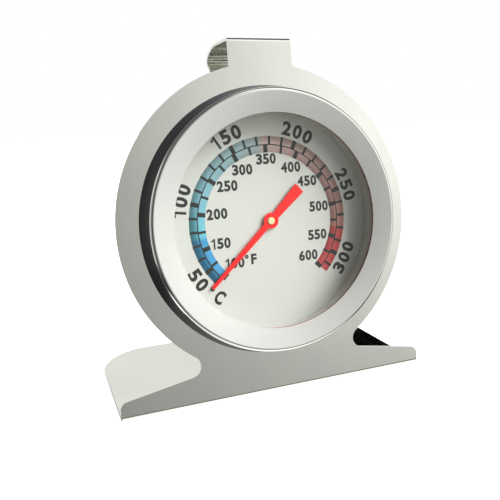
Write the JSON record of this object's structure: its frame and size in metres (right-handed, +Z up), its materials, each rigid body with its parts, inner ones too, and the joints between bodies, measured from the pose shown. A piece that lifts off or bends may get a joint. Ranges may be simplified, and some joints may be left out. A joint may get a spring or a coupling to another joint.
{
  "type": "oven thermometer",
  "caption": "Round bimetal oven thermometer with a red pointer behind glass, in a bent sheet steel stand with a hanging hook and a flat base.",
  "frame": {"origin": "middle of the base's underside, on the surface that the stand rests on", "axes": "+Z up, the dial faces -Y and leans back 5.5 degrees, +X to the right as the dial is read"},
  "size_m": [0.061, 0.0378, 0.065],
  "materials": {
    "stand_steel": "satin stainless sheet",
    "case_steel": "drawn stainless sheet",
    "collar": "satin dark grey",
    "bezel_steel": "spun satin",
    "glass": "clear tempered",
    "red_silicone": "matte",
    "spacer": "grey matte",
    "dial": "pale silver, printed",
    "seat_rubber": "matte black",
    "brass": "turned",
    "staff_steel": "ground",
    "bimetal": "rolled bimetal strip",
    "rivet": "bare",
    "pointer_red": "bright red, satin",
    "hub_brass": "pale, bright"
  },
  "bodies": {
    "case_and_stand": {"stand": "stand_steel", "case_cup": "case_steel", "case_collar": "collar", "retaining_ring": "case_steel", "bezel_ring": "bezel_steel", "glass_lens": "glass", "glass_gasket": "red_silicone", "spacer_ring": "spacer", "dial_plate": "dial", "dial_seat_gasket": "seat_rubber", "front_bush": "brass", "rear_bush": "brass", "bimetal_coil": "bimetal", "coil_anchor": "case_steel", "anchor_rivet": "rivet", "rear_cover": "case_steel"},
    "pointer_and_staff": {"pointer": "pointer_red", "pointer_hub": "hub_brass", "staff": "staff_steel", "thrust_washer": "staff_steel", "coil_collet": "brass"}
  },
  "joints": [
    {"name": "pointer_turn", "type": "hinge", "parent": "case_and_stand", "child": "pointer_and_staff", "pos_m": [0, -0.01398, 0.0324], "axis": [0, 0.9954, -0.0958], "range_deg": [-19, 271.5], "stiffness_Nm_per_rad": 0.002, "deforming": ["bimetal_coil"]}
  ]
}
